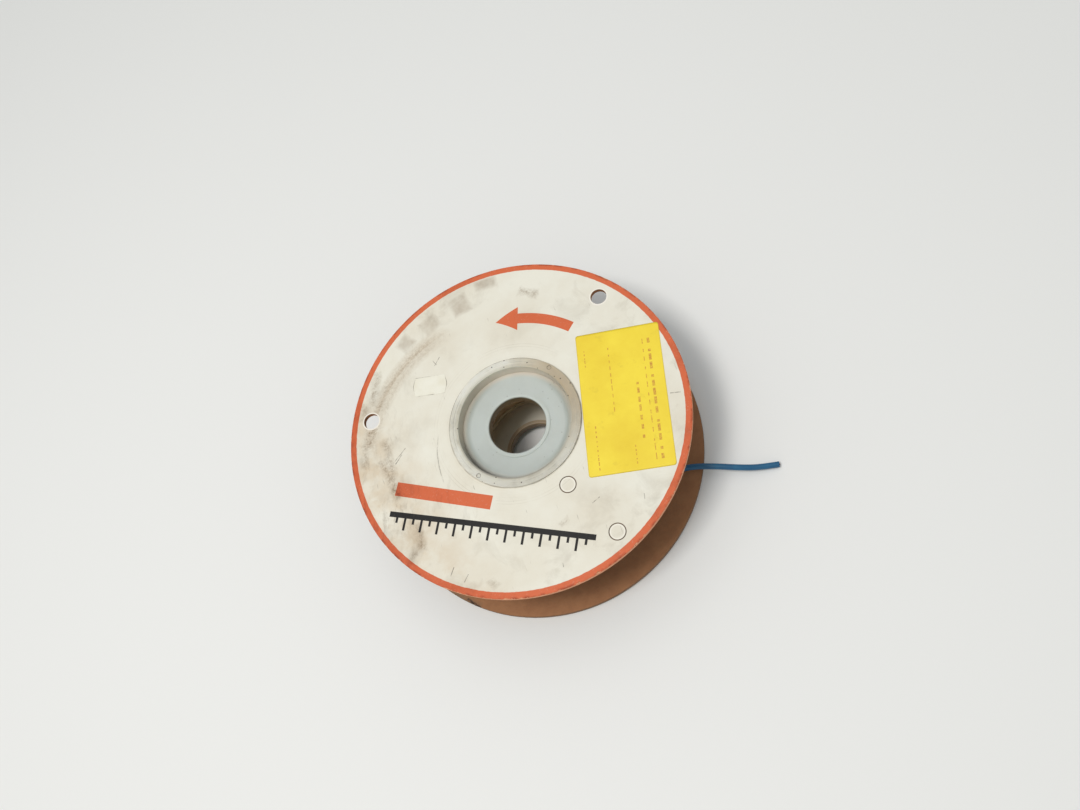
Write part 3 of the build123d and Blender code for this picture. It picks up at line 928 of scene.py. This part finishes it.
# A paper on the upper flange: lines of points across it, wavy ends, and its middle cockled off the board
def paperPiece(name, paper, material):
    length, width, corner = paper["length"], paper["width"], paper["corner"]
    columns, lines = paper["columns"], paper["lines"]
    across = [width * (line / lines - 0.5) for line in range(lines + 1)]
    across += [sign * (width / 2 - corner * (1 - cos(radians(angle)))) for sign in (-1, 1) for angle in (30, 55, 75)]
    across = sorted(set(across))
    vertices = []
    insets = []
    for level in (0, 1):
        for v in across:
            inCorner = max(0, abs(v) - (width / 2 - corner))
            half = length / 2 - corner + (corner * corner - inCorner * inCorner) ** 0.5
            endShift = -paper["wave"] * (0.5 - 0.5 * cos(2 * pi * (v / width + 0.5) + pi))
            for column in range(columns + 1):
                share = column / columns * 2 - 1
                u = half * share + endShift * share * abs(share) ** 7
                lift = 0
                if level:
                    rise = noise.noise((u * 0.07, v * 0.09, length * 0.31))
                    rise += 0.5 * noise.noise((u * 0.2, v * 0.23, length))
                    inset = min(1, (length / 2 - abs(u)) / 3, (width / 2 - abs(v)) / 3)
                    lift = paper["paper"] + paper["cockle"] * max(0, rise + 0.2) * max(0, inset)
                insets.append(min(half * (1 - abs(share)), width / 2 - abs(v)) if level else 0)
                spots = (paper["centre"], polar(v, paper["angle"] - 90), polar(u, paper["angle"]))
                x, y = (sum(parts) * mm for parts in zip(*spots))
                vertices.append((x, y, (board["upperTop"] + 0.005 + lift) * mm))
    wide = columns + 1
    deep = len(across)
    topStart = wide * deep
    faces = []
    for line in range(deep - 1):
        for column in range(columns):
            low = line * wide + column
            faces.append((low, low + 1, low + wide + 1, low + wide))
            faces.append((topStart + low, topStart + low + wide, topStart + low + wide + 1, topStart + low + 1))
    border = [*range(wide)]
    border += [line * wide + columns for line in range(1, deep)]
    border += [(deep - 1) * wide + column for column in range(columns - 1, -1, -1)]
    border += [line * wide for line in range(deep - 2, 0, -1)]
    for here, there in zip(border, border[1:] + border[:1]):
        faces.append((here, topStart + here, topStart + there, there))
    piece = newPiece(name, vertices, faces, material)
    # distance in mm from the paper's edge, for its material
    edgeInset = piece.data.attributes.new("edgeInset", "FLOAT", "POINT")
    edgeInset.data.foreach_set("value", insets)
    return piece


labelPiece = paperPiece("gummed_label", label, labelPaper)
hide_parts("paper_label")
stickerPiece = paperPiece("price_gun_sticker", sticker, stickerPaper)
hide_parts("price_sticker")
print("papers made")

# Finishes on the CAD pieces
finishes = {
    "top_flange": face,
    "bottom_flange": bareBoard,
    "barrel_tube": tubeBoard,
    "top_hub_bush": hubPlastic,
    "bottom_hub_bush": hubPlastic,
}
for name, finish in finishes.items():
    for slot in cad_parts[name].material_slots:
        slot.material = finish
print("finishes set")

# Floor, world and lamps: a plain pale studio with soft light
studio = {
    "floorColour": "#E9EBEB",
    "floorHalf": 4,          # m
    "worldColour": "#F5F6F3",
    "worldStrength": 0.48,
    "aim": (0, 0, 0.03),
    "lamps": {
        "key": {"place": (-0.37, -0.14, 1.45), "size": 0.35, "power": 9.8, "colour": "#FFFAF4"},
        "fill": {"place": (-0.04, 0.16, 1.65), "size": 1.5, "power": 5.4, "colour": "#FBFBFC"},
    },
}
floorFinish, tree, shader, _ = newMaterial("floor_pale")
setInputs(tree, shader, {"Base Color": studio["floorColour"], "Roughness": 0.75})
half = studio["floorHalf"]
floorMesh = bpy.data.meshes.new("floor")
floorMesh.from_pydata([(-half, -half, 0), (half, -half, 0), (half, half, 0), (-half, half, 0)], [], [(0, 1, 2, 3)])
floorMesh.materials.append(floorFinish)
floor = bpy.data.objects.new("floor", floorMesh)
bpy.context.collection.objects.link(floor)

world = bpy.data.worlds.new("studio")
bpy.context.scene.world = world
world.use_nodes = True
setInputs(world.node_tree, world.node_tree.nodes["Background"],
          {"Color": studio["worldColour"], "Strength": studio["worldStrength"]})
for name, lamp in studio["lamps"].items():
    light = bpy.data.lights.new(name, "AREA")
    light.shape = "SQUARE"
    light.size = lamp["size"]
    light.energy = lamp["power"]
    light.color = linear(lamp["colour"])[:3]
    lampObject = bpy.data.objects.new(name, light)
    lampObject.location = lamp["place"]
    lampObject.rotation_euler = (Vector(studio["aim"]) - Vector(lamp["place"])).to_track_quat("-Z", "Y").to_euler()
    bpy.context.collection.objects.link(lampObject)
print("stage set")

bpy.context.scene.view_settings.view_transform = "Standard"
